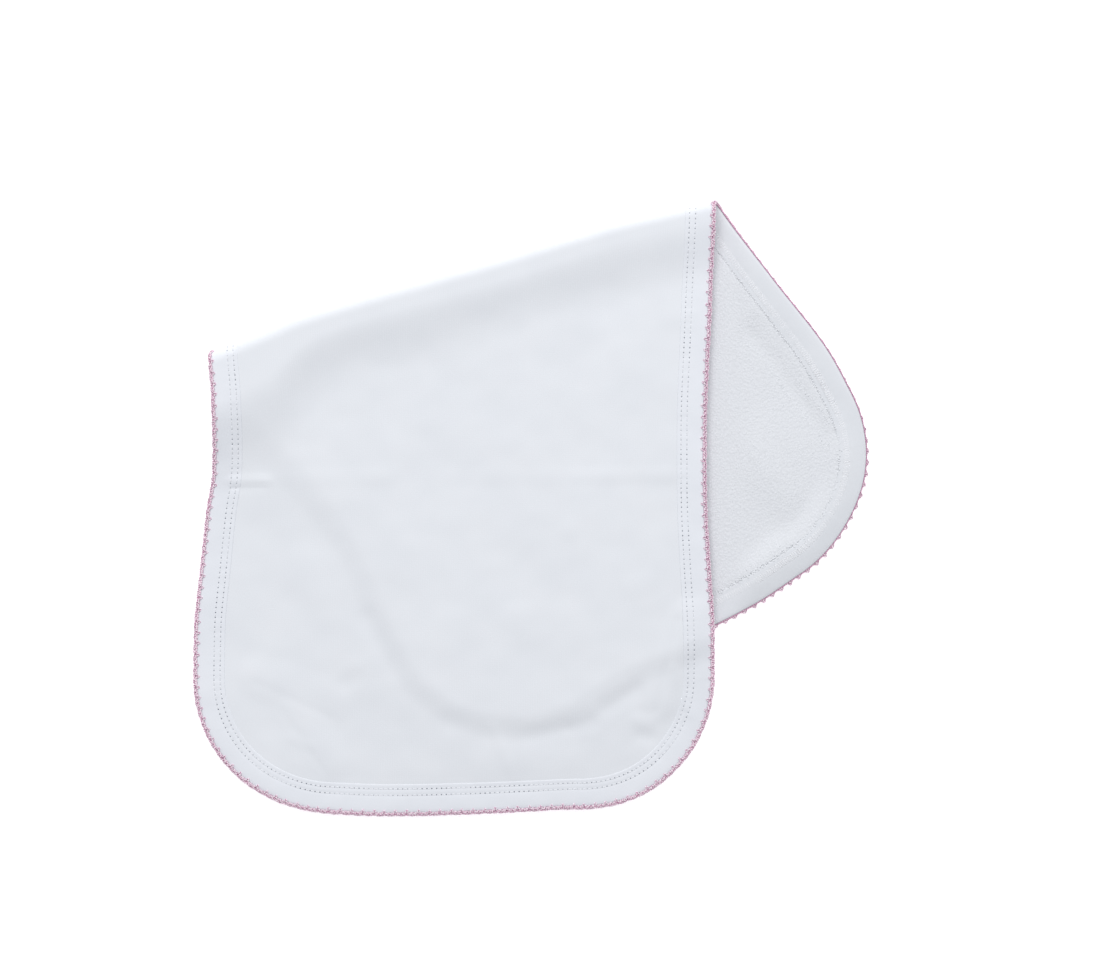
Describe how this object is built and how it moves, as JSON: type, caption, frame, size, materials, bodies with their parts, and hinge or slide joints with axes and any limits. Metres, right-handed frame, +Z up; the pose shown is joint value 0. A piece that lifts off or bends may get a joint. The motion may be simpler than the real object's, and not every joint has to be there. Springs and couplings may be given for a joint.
{
  "type": "burp cloth",
  "caption": "White knit and terry burp cloth with a bound, crocheted edge, folded over once on a slant and lying flat.",
  "frame": {"origin": "middle of the folded cloth's footprint, on the surface that it lies on", "axes": "+Z up off the surface; +Y towards the folded side, seen from above as the top; +X towards the end of the lower flap that shows"},
  "size_m": [0.334, 0.303, 0.0131],
  "materials": {
    "knit_front": "matt white cotton interlock knit",
    "terry_loops": "matt white cotton terry loops",
    "knit_binding": "matt white cotton knit strip, sewn flat with twin rows",
    "pink_thread": "soft pink cotton crochet thread"
  },
  "bodies": {
    "root": {"front_panel": "knit_front", "terry_back": "terry_loops", "binding": "knit_binding", "crochet_trim": "pink_thread"}
  },
  "joints": []
}
